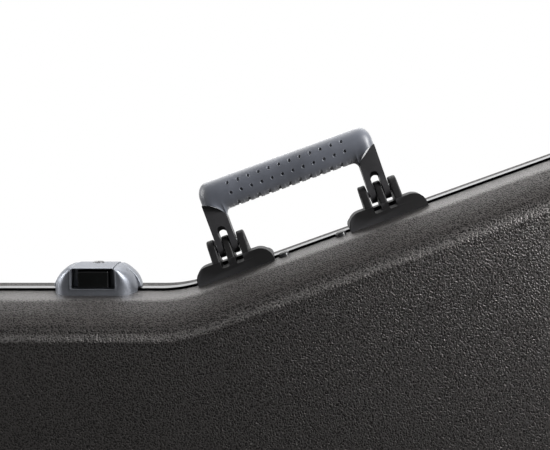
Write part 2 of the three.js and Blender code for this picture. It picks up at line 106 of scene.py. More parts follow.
def bevel(obj, width, segments=3, angle=28):
    mod = obj.modifiers.new('bevel', 'BEVEL')
    mod.width = width
    mod.segments = segments
    mod.limit_method = 'ANGLE'
    mod.angle_limit = math.radians(angle)
    mod.harden_normals = False
    mod.use_clamp_overlap = True
    mod.miter_outer = 'MITER_ARC'
    return bake(obj)


def inset_broad_faces(obj, thickness=0.3, min_area=70):
    """Inner ring on each broad flat face, so the edge tint stays at the edge: wear, and a painted
    highlight on the trigger.
    """
    bm = bmesh.new()
    bm.from_mesh(obj.data)
    broad = [f for f in bm.faces if f.calc_area() > min_area]
    if broad:
        bmesh.ops.inset_individual(bm, faces=broad, thickness=thickness, depth=0.0,
                                   use_even_offset=True)
    bm.to_mesh(obj.data)
    bm.free()


def merge(objects):
    bm = bmesh.new()
    for obj in objects:
        bm.from_mesh(obj.data)
    mesh = bpy.data.meshes.new('merged')
    bm.to_mesh(mesh)
    bm.free()
    for obj in objects:
        drop(obj)
    merged = bpy.data.objects.new('merged', mesh)
    collection.objects.link(merged)
    return merged


# plane of an outline (a, b) -> point at distance t along the remaining axis
PLANES = {
    'xz': lambda a, b, t: (a, t, b),
    'yz': lambda a, b, t: (t, a, b),
    'xy': lambda a, b, t: (a, b, t),
}


def prism(outline, start, end, plane='xz'):
    to_point = PLANES[plane]
    n = len(outline)
    verts = [to_point(a, b, t) for t in (start, end) for a, b in outline]
    faces = [list(range(n))[::-1], [n + i for i in range(n)]]
    faces += [[i, (i + 1) % n, n + (i + 1) % n, n + i] for i in range(n)]
    return solid(verts, faces)


def box(x0, x1, y0, y1, z0, z1):
    return prism([(x0, z0), (x1, z0), (x1, z1), (x0, z1)], y0, y1)


def arc(cx, cy, radius, start, end, steps):
    """Points from start to end, in degrees, both included."""
    angles = [math.radians(start + (end - start) * i / steps) for i in range(steps + 1)]
    return [(cx + radius * math.cos(a), cy + radius * math.sin(a)) for a in angles]


def mirror(outline):
    return [(-x, z) for x, z in outline][::-1]


def tube_faces(rings, n, first_reversed):
    """Quads between closed rings of n points, then the two end caps."""
    faces = [(a * n + b, a * n + (b + 1) % n, (a + 1) * n + (b + 1) % n, (a + 1) * n + b)
             for a in range(rings - 1) for b in range(n)]
    first = list(range(n))
    last = [(rings - 1) * n + b for b in range(n)]
    return faces + ([first[::-1], last] if first_reversed else [first, last[::-1]])


def lathe(profile, sides=28, axis='z', origin=(0, 0, 0)):
    """Turn a profile of (radius, height) about the z or x axis."""
    verts = []
    for radius, h in profile:
        for k in range(sides):
            a = 2 * math.pi * k / sides
            verts.append((radius * math.cos(a), radius * math.sin(a), h))
    if axis == 'x':
        verts = [(h, a, b) for a, b, h in verts]
    verts = [tuple(v + o for v, o in zip(vert, origin)) for vert in verts]
    return solid(verts, tube_faces(len(profile), sides, first_reversed=True))


def rod(radius, x0, x1, y, z, sides=28):
    """Plain cylinder along x, used to drill holes."""
    return lathe([(radius, x0), (radius, x1)], sides, 'x', (0, y, z))


def shift(x, y, z):
    return Matrix.Translation((x, y, z))


def paint(mesh, name, material):
    mesh.name = name
    mesh.materials.clear()
    mesh.materials.append(material)
    for polygon in mesh.polygons:
        polygon.material_index = 0
    mesh.shade_smooth()


def register(obj, body, replaced):
    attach(obj, body)
    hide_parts(replaced)


def place(obj, name, body, material, replaced, frame=Matrix(), sharp=35, flat=False):
    """Finish a part: move it through frame, scale to metres, shade it and register it."""
    if flat:
        inset_broad_faces(obj)
    mesh = obj.data
    mesh.transform(Matrix.Scale(MM, 4) @ frame)
    obj.name = name
    paint(mesh, name, material)
    mesh.set_sharp_from_angle(angle=math.radians(sharp))
    if flat:
        weighted = obj.modifiers.new('weighted', 'WEIGHTED_NORMAL')
        weighted.keep_sharp = True
        weighted.weight = 80
        weighted.mode = 'FACE_AREA'
    mesh.update()
    register(obj, body, replaced)


# ---------------------------------------------------------------- shader tools
class Shader:
    """A node tree with helpers that add nodes and return output sockets."""

    def __init__(self, tree):
        self.tree = tree

    def node(self, kind):
        return self.tree.nodes.new('ShaderNode' + kind)

    def feed(self, socket, value):
        """Link an output socket, or set a number or an (r, g, b) colour."""
        if isinstance(value, bpy.types.NodeSocket):
            self.tree.links.new(value, socket)
        else:
            socket.default_value = (*value, 1) if isinstance(value, tuple) else value

    def coords(self):
        return self.node('TexCoord').outputs['Object']

    def noise(self, vector, scale, detail, rough, distortion=0.0):
        node = self.node('TexNoise')
        node.inputs['Scale'].default_value = scale
        node.inputs['Detail'].default_value = detail
        node.inputs['Roughness'].default_value = rough
        node.inputs['Distortion'].default_value = distortion
        self.feed(node.inputs['Vector'], vector)
        return node.outputs['Fac']

    def attribute(self, name):
        node = self.node('Attribute')
        node.attribute_name = name
        node.attribute_type = 'GEOMETRY'
        return node.outputs['Fac']

    def ramp(self, factor, *stops):
        """Two stops of (position, grey level or colour)."""
        node = self.node('ValToRGB')
        for element, (position, value) in zip(node.color_ramp.elements, stops):
            element.position = position
            element.color = (*(value if isinstance(value, tuple) else (value,) * 3), 1)
        self.feed(node.inputs['Fac'], factor)
        return node.outputs['Color']

    def red(self, colour):
        node = self.node('SeparateColor')
        self.feed(node.inputs[0], colour)
        return node.outputs[0]

    def math(self, operation, a, b=None, clamp=False):
        node = self.node('Math')
        node.operation = operation
        node.use_clamp = clamp
        self.feed(node.inputs[0], a)
        if b is not None:
            self.feed(node.inputs[1], b)
        return node.outputs[0]

    def add(self, a, b):
        return self.math('ADD', a, b)

    def mul(self, a, b):
        return self.math('MULTIPLY', a, b)

    def rise(self, value, start, slope):
        """0 up to start, then climbing by slope to 1."""
        return self.math('MULTIPLY', self.add(value, -start), slope, clamp=True)

    def mix(self, factor, a, b):
        node = self.node('Mix')
        node.data_type = 'RGBA'
        for index, value in ((0, factor), (6, a), (7, b)):
            self.feed(node.inputs[index], value)
        return node.outputs[2]

    def tint_edges(self, base, colour, start, end, amount):
        """Blend toward colour where the pointiness runs from start to end."""
        pointiness = self.node('NewGeometry').outputs['Pointiness']
        mask = self.red(self.ramp(pointiness, (start, 0.0), (end, 1.0)))
        return self.mix(self.mul(mask, amount), base, colour)

    def bump(self, height, strength, distance):
        node = self.node('Bump')
        node.inputs['Strength'].default_value = strength
        node.inputs['Distance'].default_value = distance
        self.feed(node.inputs['Height'], height)
        return node.outputs['Normal']


class Surface(Shader):
    """A new material; surface[input] = value sets or links a Principled BSDF input."""

    def __init__(self, name):
        self.material = bpy.data.materials.new(name)
        self.material.use_nodes = True
        super().__init__(self.material.node_tree)
        self.bsdf = self.tree.nodes['Principled BSDF']

    def __setitem__(self, key, value):
        self.feed(self.bsdf.inputs[key], value)


def scaled(colour, factor):
    return tuple(x * factor for x in colour)


# ---------------------------------------------------------------- materials
def pebble_plastic():
    """Pebbled shell with painted highlights on the pebble tips; the 'grain' and 'gloss' point
    attributes steer relief and shine.
    """
    s = Surface('moulded_pebble_plastic')
    coords = s.coords()
    grain = s.attribute('grain')
    cells = s.node('TexVoronoi')
    cells.feature = 'SMOOTH_F1'
    cells.inputs['Scale'].default_value = 620
    cells.inputs['Smoothness'].default_value = 0.5
    s.feed(cells.inputs['Vector'], coords)
    rough_noise = s.noise(coords, scale=760, detail=3, rough=0.62)
    fine_noise = s.noise(coords, scale=2400, detail=2, rough=0.5)
    # pebbles weigh cells 0.8 and noise 1.1; the fine noise (0.12) is there at any grain
    pebbles = s.add(s.mul(cells.outputs['Distance'], 0.8), s.mul(rough_noise, 1.1))
    relief = s.add(s.mul(pebbles, grain), s.mul(fine_noise, 0.12))
    s['Normal'] = s.bump(relief, strength=1.0, distance=0.0014)
    patches = s.noise(coords, scale=9, detail=3, rough=0.55)
    base = s.ramp(patches, (0.3, (0.0080, 0.0076, 0.0075)), (0.7, (0.0112, 0.0106, 0.0104)))
    # pebble tips get a painted highlight, lighter by up to 0.42, and are shinier
    tip_glint = s.red(s.ramp(pebbles, (0.72, 0.0), (1.12, 1.0)))
    s['Base Color'] = s.mix(s.mul(s.mul(tip_glint, grain), 0.42), base, (0.080, 0.073, 0.070))
    # roughness is 0.185 where smooth and 0.25 more at full grain
    s['Roughness'] = s.add(s.mul(grain, 0.25), 0.185)
    gloss = s.attribute('gloss')
    # specular level, per unit of gloss: 0.36 between pebbles, 1.9 more on the tips
    s['Specular IOR Level'] = s.mul(gloss, s.add(s.mul(tip_glint, 1.9), 0.36))
    s['Specular Tint'] = (1.0, 0.955, 0.93)
    return s.material


def plastic(name, colour, rough, grain, relief, specular, edge_wear_and_highlight=None):
    """Fine-grained plastic or rubber; the optional edge colour tints rubbed edges, and on the
    trigger it is a painted highlight along the bevels.
    """
    s = Surface(name)
    coords = s.coords()
    fine = s.noise(coords, scale=grain, detail=2, rough=0.5)
    patches = s.noise(coords, scale=30, detail=3, rough=0.6)
    base = s.ramp(patches, (0.3, scaled(colour, 0.8)), (0.7, scaled(colour, 1.25)))
    if edge_wear_and_highlight:
        base = s.tint_edges(base, edge_wear_and_highlight, start=0.53, end=0.66, amount=0.5)
    s['Base Color'] = base
    s['Normal'] = s.bump(fine, strength=relief, distance=0.0003)
    s['Roughness'] = s.ramp(patches, (0.25, rough - 0.05), (0.75, rough + 0.07))
    s['Specular IOR Level'] = specular
    return s.material


def alloy(name):
    """Alloy with fine lines; the noise is squeezed along y."""
    s = Surface(name)
    coords = s.coords()
    mapping = s.node('Mapping')
    s.feed(mapping.inputs['Vector'], coords)
    mapping.inputs['Scale'].default_value = (3, 900, 3)
    lines = s.noise(mapping.outputs[0], scale=1.0, detail=3, rough=0.6)
    s['Base Color'] = s.ramp(lines, (0.3, (0.20, 0.20, 0.203)), (0.7, (0.28, 0.28, 0.284)))
    s['Metallic'] = 1.0
    s['Roughness'] = s.ramp(lines, (0.3, 0.28), (0.7, 0.42))
    s['Normal'] = s.bump(lines, strength=0.2, distance=0.0002)
    return s.material


def plated_steel():
    s = Surface('plated_steel')
    mottle = s.noise(s.coords(), scale=300, detail=3, rough=0.6)
    s['Base Color'] = s.ramp(mottle, (0.3, (0.45, 0.46, 0.48)), (0.7, (0.58, 0.59, 0.6)))
    s['Metallic'] = 1.0
    s['Roughness'] = s.ramp(mottle, (0.3, 0.22), (0.7, 0.36))
    return s.material


def flake_paint():
    """Metallic grey paint: each small cell takes its own shade."""
    s = Surface('metallic_grey_paint')
    coords = s.coords()
    flakes = s.node('TexVoronoi')
    flakes.inputs['Scale'].default_value = 5200
    s.feed(flakes.inputs['Vector'], coords)
    base = s.ramp(s.red(flakes.outputs['Color']),
                  (0.0, (0.165, 0.176, 0.200)), (1.0, (0.285, 0.300, 0.335)))
    s['Base Color'] = s.tint_edges(base, (0.5, 0.52, 0.55), start=0.52, end=0.62, amount=0.35)
    s['Metallic'] = 0.84
    patches = s.noise(coords, scale=120, detail=3, rough=0.6)
    s['Roughness'] = s.ramp(patches, (0.3, 0.40), (0.7, 0.52))
    fine = s.noise(coords, scale=2500, detail=1, rough=0.5)
    s['Normal'] = s.bump(fine, strength=0.08, distance=0.0001)
    s['Coat Weight'] = 0.12
    s['Coat Roughness'] = 0.2
    return s.material


def plush(name, colour):
    s = Surface(name)
    coords = s.coords()
    pile = s.noise(coords, scale=700, detail=4, rough=0.7)
    patches = s.noise(coords, scale=14, detail=4, rough=0.6, distortion=0.6)
    clumps = s.noise(coords, scale=90, detail=3, rough=0.6)
    shade = s.add(s.mul(pile, 0.6), s.mul(patches, 0.4))  # 60% pile, 40% patches
    s['Base Color'] = s.ramp(shade, (0.35, scaled(colour, 0.6)), (0.65, scaled(colour, 2.0)))
    height = s.add(pile, s.mul(clumps, 1.5))  # clumps stand higher than the pile
    s['Normal'] = s.bump(height, strength=0.9, distance=0.0012)
    s['Roughness'] = 0.95
    s['Sheen Weight'] = 0.6
    s['Sheen Roughness'] = 0.45
    s['Sheen Tint'] = (0.5, 0.52, 0.6)
    return s.material


def woven_ribbon():
    """Two crossing sets of bands."""
    s = Surface('woven_ribbon')
    coords = s.coords()
    band_scale = 1 / 0.0009 / 6.28
    colour = (0.01, 0.01, 0.011)
    bands = []
    for direction in 'XZ':
        wave = s.node('TexWave')
        wave.bands_direction = direction
        wave.inputs['Scale'].default_value = band_scale
        s.feed(wave.inputs['Vector'], coords)
        bands.append(wave.outputs['Fac'])
    height = s.math('MAXIMUM', *bands)
    s['Base Color'] = s.ramp(height, (0.2, scaled(colour, 0.5)), (0.9, scaled(colour, 2.2)))
    s['Normal'] = s.bump(height, strength=0.7, distance=0.0004)
    s['Roughness'] = 0.8
    s['Sheen Weight'] = 0.3
    return s.material


SHELL = pebble_plastic()
ALLOY = alloy('ribbed_alloy_extrusion')
SEAL = plastic('black_seal_rubber', (0.0012, 0.0012, 0.0014),
               rough=0.9, grain=700, relief=0.15, specular=0.0)
NYLON = plastic('matte_black_nylon', (0.0105, 0.0102, 0.0106),
                rough=0.46, grain=1500, relief=0.7, specular=0.22, edge_wear_and_highlight=(0.075, 0.075, 0.08))
FORK_NYLON = plastic('satin_black_nylon', (0.0245, 0.0240, 0.0258),
                     rough=0.42, grain=1500, relief=0.5, specular=0.55, edge_wear_and_highlight=(0.09, 0.09, 0.095))
GRIP = plastic('soft_blue_grey_rubber', (0.080, 0.087, 0.107),
               rough=0.44, grain=1600, relief=0.14, specular=0.70, edge_wear_and_highlight=(0.2, 0.21, 0.235))
# the trigger's lighter edge colour is a painted highlight along the bevels of the trigger and the
# rim buttons
TRIGGER = plastic('black_trigger_plastic', (0.0022, 0.0024, 0.0024),
                  rough=0.20, grain=900, relief=0.05, specular=0.5, edge_wear_and_highlight=(0.16, 0.16, 0.17))
RUBBER = plastic('foot_rubber', (0.012, 0.012, 0.012),
                 rough=0.75, grain=500, relief=0.4, specular=0.3)
grip_inputs = GRIP.node_tree.nodes['Principled BSDF'].inputs
grip_inputs['Sheen Weight'].default_value = 1.0
grip_inputs['Sheen Roughness'].default_value = 0.4
STEEL = plated_steel()
PAINT = flake_paint()
LOCK_METAL = alloy('plain_alloy')
PLUSH = plush('short_black_plush', (0.012, 0.012, 0.015))
DOOR_PLUSH = plush('board_plush', (0.014, 0.014, 0.018))
RIBBON = woven_ribbon()

# ---------------------------------------------------------------- outline of the case
HALF_LENGTH = 580.0
SPINE_Z, NECK_Z, BODY_Z = 10.0, 331.0, 468.0   # hinge side, top at the neck, top at the body
SLOPE_Z, SLOPE = 360.8, 0.362                  # sloping top: z = SLOPE_Z + SLOPE * x
STRAIGHT_STEP = 30                             # aimed point spacing on the straights


def slope_x(z):
    return (z - SLOPE_Z) / SLOPE


# (x, z) of the sharp corner, fillet radius, fillet steps
CORNERS = [
    ((-HALF_LENGTH, SPINE_Z), 55, 20), ((HALF_LENGTH, SPINE_Z), 110, 26),
    ((HALF_LENGTH, BODY_Z), 110, 26), ((slope_x(BODY_Z), BODY_Z), 250, 14),
    ((slope_x(NECK_Z), NECK_Z), 120, 14), ((-HALF_LENGTH, NECK_Z), 55, 20),
]


def corner_arcs(inset):
    """Fillet points of each corner, with the outline moved inward by inset."""
    arcs = []
    for i, (_, radius, steps) in enumerate(CORNERS):
        before, here, after = (np.array(CORNERS[k % len(CORNERS)][0], float)
                               for k in (i - 1, i, i + 1))
        u = (here - before) / np.linalg.norm(here - before)
        v = (after - here) / np.linalg.norm(after - here)
        turn = math.atan2(u[0] * v[1] - u[1] * v[0], float(u @ v))
        sign = math.copysign(1, turn)
        start = here - u * (radius * math.tan(abs(turn) / 2))
        centre = start + np.array([-u[1], u[0]]) * radius * sign
        angle = math.atan2(*(start - centre)[::-1])
        r = radius - sign * inset
        arcs.append([(centre[0] + r * math.cos(angle + turn * k / steps),
                      centre[1] + r * math.sin(angle + turn * k / steps))
                     for k in range(steps + 1)])
    return arcs


def with_next(arcs):
    """Pairs of (last point of an arc, first point of the next)."""
    return [(points[-1], arcs[(i + 1) % len(arcs)][0]) for i, points in enumerate(arcs)]


STRAIGHT_PARTS = [round(math.dist(last, first) / STRAIGHT_STEP)
                  for last, first in with_next(corner_arcs(0))]


def ring(inset):
    arcs = corner_arcs(inset)
    outline = []
    for points, (last, first), parts in zip(arcs, with_next(arcs), STRAIGHT_PARTS):
        outline += points
        outline += [(last[0] + (first[0] - last[0]) * k / parts,
                     last[1] + (first[1] - last[1]) * k / parts) for k in range(1, parts)]
    return outline


def loft(profile, closed):
    """Sweep a profile of (inset, y) round the outline; an open one gets two end caps."""
    rings = [[(x, y, z) for x, z in ring(inset)] for inset, y in profile]
    n = len(rings[0])
    faces = []
    for k in range(len(rings) if closed else len(rings) - 1):
        a, b = k * n, ((k + 1) % len(rings)) * n
        faces += [(a + i, b + i, b + (i + 1) % n, a + (i + 1) % n) for i in range(n)]
    if not closed:
        faces.append(tuple(range(n)))
        faces.append(tuple((len(rings) - 1) * n + i for i in range(n))[::-1])
    return solid([p for points in rings for p in points], faces)


# ---------------------------------------------------------------- shells
# (inset, y) from the wall over the shoulder to the flat face
SHOULDER = [
    (2.3, 40.0), (4.6, 48.6), (7.2, 58.0), (10.0, 67.2), (12.8, 74.2), (15.4, 79.4),
    (17.6, 82.0), (19.4, 83.3), (20.9, 83.7), (22.3, 84.2), (24.3, 85.75), (26.6, 87.3),
    (28.8, 87.95), (30.6, 87.86), (32.4, 87.8),
]


def catmull_rom(points, steps):
    p = np.array([points[0]] + list(points) + [points[-1]], float)
    out = []
    for i in range(1, len(p) - 2):
        for k in range(steps):
            t = k / steps
            out.append(tuple(0.5 * (
                (2 * p[i]) + (-p[i - 1] + p[i + 1]) * t
                + (2 * p[i - 1] - 5 * p[i] + 4 * p[i + 1] - p[i + 2]) * t * t
                + (-p[i - 1] + 3 * p[i] - 3 * p[i + 1] + p[i + 2]) * t ** 3)))
    out.append(tuple(p[-2]))
    return out


def shell(side, rim, low):
    """Half shell; rim is the |y| of its edge, low the inset of the wall beside the edge."""
    wall = [(low + 0.35, rim), (low + 0.05, rim + 0.25), (low, rim + 0.8)]
    wall += [(low + (2.15 - low) * t, rim + 1 + (38.5 - rim) * t)
             for t in (0.25, 0.5, 0.75, 1.0)]
    outer = wall + catmull_rom(SHOULDER, steps=3)
    inner = [(4.6, rim), (4.8, rim + 0.2), (6.4, 43), (10.4, 60.5), (14.4, 70.6),
             (20.4, 77.4), (25.4, 80.6), (30.0, 81.6), (34.0, 84.4), (42, 84.4)]
    profile = [(44, 87.8), (37, 87.8)] + outer[::-1] + inner
    return loft([(inset, side * y) for inset, y in profile], closed=False)


def add_shell_attributes(obj, wall_end, wall_grain):
    """'gloss' and 'grain' by distance from the parting plane; the wall ends at wall_end."""
    mesh = obj.data
    co = np.empty(len(mesh.vertices) * 3)
    mesh.vertices.foreach_get('co', co)
    y = np.abs(co.reshape(-1, 3)[:, 1]) / MM

    def fade(start, length):
        return np.clip((y - start) / length, 0, 1)

    past_wall = np.clip((y - wall_end + 1) / 4.0, 0, 1)
    # grain grows to 1.3 past the wall and drops by 0.89 toward the flat face
    grain = wall_grain + (1.3 - wall_grain) * past_wall
    grain = grain - 0.89 * fade(78, 8.0)
    # gloss is 0.90 on the wall, falls over the shoulder and returns on the face
    gloss = (0.90 - 0.70 * past_wall
             - 0.17 * np.clip((y - max(wall_end, 40.0) - 3) / 28.0, 0, 1)
             + 0.46 * fade(82, 5.0))
    for name, values in (('gloss', gloss), ('grain', grain)):
        attribute = mesh.attributes.new(name, 'FLOAT', 'POINT')
        attribute.data.foreach_set('value', values.astype(np.float32))


# body, side of y, rim, low, wall end, wall grain
for body, side, rim, low, wall_end, wall_grain in (('base', 1, 2.3, 0.1, 5.0, 1.0),
                                                   ('lid', -1, 2.0, 1.6, 41.0, 0.45)):
    half = shell(side, rim, low)
    place(half, f'{body}_moulded_shell', body, SHELL, f'{body}_shell', sharp=50)
    add_shell_attributes(half, wall_end, wall_grain)


# ---------------------------------------------------------------- rims, profiles of (inset, y)
def base_rim_profile():
    ribs = []
    for k in range(4):  # shallow ribs along the outer flange, which leans with y
        y = 1.0 + k * 2.25
        lean = 0.07 * (y - 1)
        ribs += [(0.05 - lean, y - 0.35), (-0.13 - lean, y),
                 (-0.13 - lean, y + 0.9), (0.03 - lean, y + 1.35)]
    return [(0.3, 0.3), (0.1, 0.45)] + ribs + [
        (-0.6, 9.4), (-0.5, 9.6), (-0.2, 9.5), (0.3, 2.0),
        (4.3, 2.0), (4.3, 8), (5.4, 8), (5.4, 0.3)]


GASKET = [(0.0, -1.9), (-0.42, -1.6), (-0.42, -0.6), (-0.2, 0.05),
          (3.6, 0.05), (3.6, -1.95), (0.5, -1.95)]
LID_RIM = [(4.5, -9.8), (7.1, -10), (7.2, -9.8), (7.2, 2.6), (6.8, 3),
           (6.2, 3), (5.9, 2.6), (5.9, -0.3), (4.4, -0.3), (4.4, -9.8)]
for profile, name, body, material, slot, replaced in (
        (base_rim_profile(), 'base_rim_extrusion', 'base', ALLOY, 'rim_alloy', 'base_valance'),
        (GASKET, 'rim_gasket', 'base', SEAL, 'rubber', 'rim_seal'),
        (LID_RIM, 'lid_rim_extrusion', 'lid', ALLOY, 'rim_alloy', 'lid_valance')):
    place(loft(profile, closed=True), name, body, material, replaced, sharp=40)

# ---------------------------------------------------------------- handle dimensions
# Handle frame: x runs up the sloping wall from the middle of the handle, z points out of it
HANDLE_X = 33.3
cos_s, sin_s = math.cos(math.atan(SLOPE)), math.sin(math.atan(SLOPE))
HANDLE_FRAME = Matrix(((cos_s, 0, -sin_s, HANDLE_X), (0, 1, 0, 0),
                       (sin_s, 0, cos_s, SLOPE_Z + SLOPE * HANDLE_X), (0, 0, 0, 1)))
PIVOT_Y, PIVOT_Z = 3.0, 23.6
BRACKET_X = 72.4             # bracket and leg centres, either side
BRACKET_HALF = 36.3          # half length of a bracket
SCREW_X, SCREW_Y = 24, 14.8  # screws, from a bracket's centre
LEG_HALF = 9.25
LEG_IN, LEG_OUT = BRACKET_X - LEG_HALF, BRACKET_X + LEG_HALF
GRIP_TOP, GRIP_LOW = 84.0, 54.4
GRIP_MID = (GRIP_TOP + GRIP_LOW) / 2
GRIP_R = 13.0                # outer bend radius and half thickness
# (x, z) where the right fork meets the grip
SEAM = [(LEG_IN, 48.6), (LEG_IN + 0.6, 51.8), (LEG_IN + 1.9, 55.0), (LEG_IN + 4.2, 58.4),
        (LEG_IN + 7.0, 61.0), (LEG_IN + 10.5, 62.9), (LEG_IN + 14, 64.2), (LEG_OUT, 65.2)]


# ---------------------------------------------------------------- handle brackets
def bracket_block(radius, steps, y0, y1):
    """Block as long as the bracket, with rounded upper corners."""
    half = BRACKET_HALF - 0.05
    outline = [(half, -2)] + arc(half - radius, 0.9, radius, 0, 90, steps)
    return prism(outline + mirror(outline), y0, y1)


def bracket_lug(x0, x1):
    outline = [(-11.95, 5), (19.9, 5), (19.9, 10.5), (16.4, 14.8)]
    outline += arc(PIVOT_Y, PIVOT_Z, 9.1, 8, 172, 22) + [(-10.2, 14.8), (-11.95, 10.5)]
    lug = prism(outline, x0, x1, 'yz')
    cut(lug, rod(3.3, x0 - 3, x1 + 3, PIVOT_Y, PIVOT_Z))
    cut(lug, prism([(-14, -4), (-14, 5.05), (22, 5.05), (22, -4)], -40, 40, 'yz'))
    return bevel(lug, 1.5, 4, 40)


def bracket():
    block = bracket_block(12.55, 16, -12, 3)
    cut(block, bracket_block(6.55, 8, 0, 20), operation='UNION')
    # two round-cornered slots for the fork tines, seen from the front
    for x in (-6.95, 6.95):
        slot = [(x - 3.65, 22), (x - 3.65, 8.8)] + arc(x - 2.25, 8.2, 1.4, 180, 270, 4)
        slot += arc(x + 2.25, 8.2, 1.4, 270, 360, 4) + [(x + 3.65, 22)]
        cut(block, prism(slot, -14, 22))
    # room for the rim and the screws
    cut(block, prism([(-14, -4), (-14, -1.7), (-2.6, -1.4), (-2.5, 1.0), (10.2, 1.0),
                      (10.3, 0.2), (22, -0.1), (22, -4)], -42, 42, 'yz'))
    for x in (-SCREW_X, SCREW_X):
        cut(block, lathe([(2.6, -3), (2.6, 12)], 20, 'z', (x, SCREW_Y, 0)))
    bevel(block, 0.75)
    back = bevel(box(-17.6, 17.6, 8.5, 19.8, 5, 10.0), 0.9)
    lugs = [bracket_lug(x0, x1) for x0, x1 in ((-17.7, -10.6), (-3.3, 3.3), (10.6, 17.7))]
    return merge([block, back] + lugs)


PIVOT_PIN = [(2.6, -16.9), (3.15, -16.5), (3.2, -16.0), (3.2, 16.0), (3.15, 16.5), (2.6, 16.9)]
for side, x in (('left', -BRACKET_X), ('right', BRACKET_X)):
    spot = HANDLE_FRAME @ shift(x, 0, 0)
    place(bracket(), f'handle_bracket_moulding_{side}', 'base', NYLON,
          f'handle_bracket_{side}', spot, flat=True)
    place(lathe(PIVOT_PIN, 28, 'x', (0, PIVOT_Y, PIVOT_Z)), f'handle_pivot_{side}', 'base',
          STEEL, f'handle_pin_{side}', spot)

screw_places = [centre + dx for centre in (-BRACKET_X, BRACKET_X) for dx in (-SCREW_X, SCREW_X)]
for i, x in enumerate(screw_places, 1):
    screw = lathe([(2.1, -8.0), (2.2, -7.4), (2.2, 7.6), (3.85, 7.6),
                   (3.9, 9.2), (3.3, 10.1), (2.0, 10.3)], 24)
    cut(screw, prism(arc(0, 0, 1.7, 0, 300, 5), 9.0, 14, 'xy'))  # hexagonal socket
    place(screw, f'bracket_screw_{i}', 'base', STEEL, f'handle_screw_{i}',
          HANDLE_FRAME @ shift(x, SCREW_Y, 0))


# ---------------------------------------------------------------- handle forks and bar
def fork(side):
    """Forked leg on the pivot; side is 1 for right, -1 for left."""
    orient = list if side > 0 else mirror
    x = side * BRACKET_X

    def gap(z, y0, y1):
        """Round-topped slot up the middle of the leg."""
        outline = [(BRACKET_X - 4.05, 10), (BRACKET_X - 4.05, z)]
        outline += arc(BRACKET_X, z, 4.05, 180, 0, 14)[1:] + [(BRACKET_X + 4.05, 10)]
        return prism(orient(outline), y0, y1)

    leg = prism(orient([(LEG_IN, 13), (LEG_OUT, 13)] + SEAM[::-1]), -12, 18)
    # (half width, z) above the round foot, seen along x
    flanks = [(8.9, 29), (8.1, 36), (8, 70)]
    outline = arc(PIVOT_Y, PIVOT_Z, 9.2, 180, 360, 20)
    outline += [(PIVOT_Y + w, z) for w, z in flanks]
    outline += [(PIVOT_Y - w, z) for w, z in flanks[::-1]]
    cut(leg, prism(outline, x - 12, x + 12, 'yz'), operation='INTERSECT')
    cut(leg, gap(38.6, -14, -1), gap(38.6, 4, 20))  # recesses front and back
    cut(leg, gap(34.6, -14, 20))                    # right through, between the tines
    cut(leg, rod(3.3, x - 14, x + 14, PIVOT_Y, PIVOT_Z))
    return bevel(leg, 1.6, 4, 35)


def handle_bar(half=4.5):
    """Square bar bent down into both legs."""
    outer, inner = BRACKET_X + half, BRACKET_X - half
    top, low = GRIP_MID + half, GRIP_MID - half
    return prism([(outer, 50), (outer, top), (-outer, top), (-outer, 50),
                  (-inner, 50), (-inner, low), (inner, low), (inner, 50)],
                 PIVOT_Y - half, PIVOT_Y + half)


place(merge([fork(1), fork(-1), handle_bar()]), 'handle_fork_frame', 'carry_handle',
      FORK_NYLON, 'handle_core', HANDLE_FRAME, flat=True)


# ---------------------------------------------------------------- handle grip
AROUND = 180               # points round a section
LEG_STEPS, BEND_STEPS, HALF_BAR_STEPS = 6, 26, 220
INNER_BEND_R = 7.0
ROUNDNESS = 2 / 2.08       # superellipse exponent, close to an ellipse
SEAM_ROWS = 30             # sections at each end that blend to the seam
DIMPLE_PITCH = 9.72


def grip_path():
    """(outer point, inner point) of each section, from the left leg to the right one."""
    outer_x = LEG_OUT - GRIP_R
    inner_x, inner_z = LEG_IN - INNER_BEND_R, GRIP_LOW - INNER_BEND_R

    def bend(x, z, radius, degrees):
        a = math.radians(degrees)
        return x + radius * math.cos(a), z + radius * math.sin(a)

    right = [((LEG_OUT, 65.5), (LEG_IN, 49.0))]
    for k in range(1, LEG_STEPS + 1):
        t = k / LEG_STEPS
        right.append(((LEG_OUT, 65.5 + (GRIP_TOP - GRIP_R - 65.5) * t * 0.98),
                      bend(inner_x, inner_z, INNER_BEND_R, 24 * t)))
    for k in range(1, BEND_STEPS + 1):
        t = k / BEND_STEPS
        right.append((bend(outer_x, GRIP_TOP - GRIP_R, GRIP_R, 90 * t),
                      bend(inner_x, inner_z, INNER_BEND_R, 24 + 66 * t)))
    for k in range(1, HALF_BAR_STEPS + 1):
        t = k / HALF_BAR_STEPS
        right.append(((outer_x * (1 - t), GRIP_TOP), (inner_x * (1 - t), GRIP_LOW)))
    left = [((-p[0], p[1]), (-q[0], q[1])) for p, q in right]
    return left + right[::-1][1:]


def grip_relief(x, y, z):
    """Outward displacement: dimples in front and behind, notches below."""
    relief = np.zeros(x.shape)
    off_middle = y != PIVOT_Y
    for row_z, first_x in ((77.4, -52.6), (68.2, -52.4)):
        for k in range(12):
            r = np.hypot(x - (first_x + DIMPLE_PITCH * k), z - row_z)
            # dimple 1.9 deep and 1.35 in radius, with a faint lip round it
            hollow = 1.9 * np.clip(1.0 - (r / 1.35) ** 2, 0, 1) ** 0.7
            relief -= np.where(off_middle, hollow, 0)
            relief += np.where(off_middle, 0.10 * np.exp(-((r - 1.5) / 0.35) ** 2), 0)
    under = np.clip((60.0 - z) / 4.0, 0, 1) * np.clip((58 - np.abs(x)) / 3, 0, 1)
    phase = np.mod(x + 4.9, DIMPLE_PITCH) / DIMPLE_PITCH
    notch = np.where((phase > 0.36) & (phase < 0.6), 1.0, 0.0)
    saw = np.clip(1 - phase * 1.1, 0, 1) * 0.7
    return relief - under * (0.95 * notch + saw * 0.5)


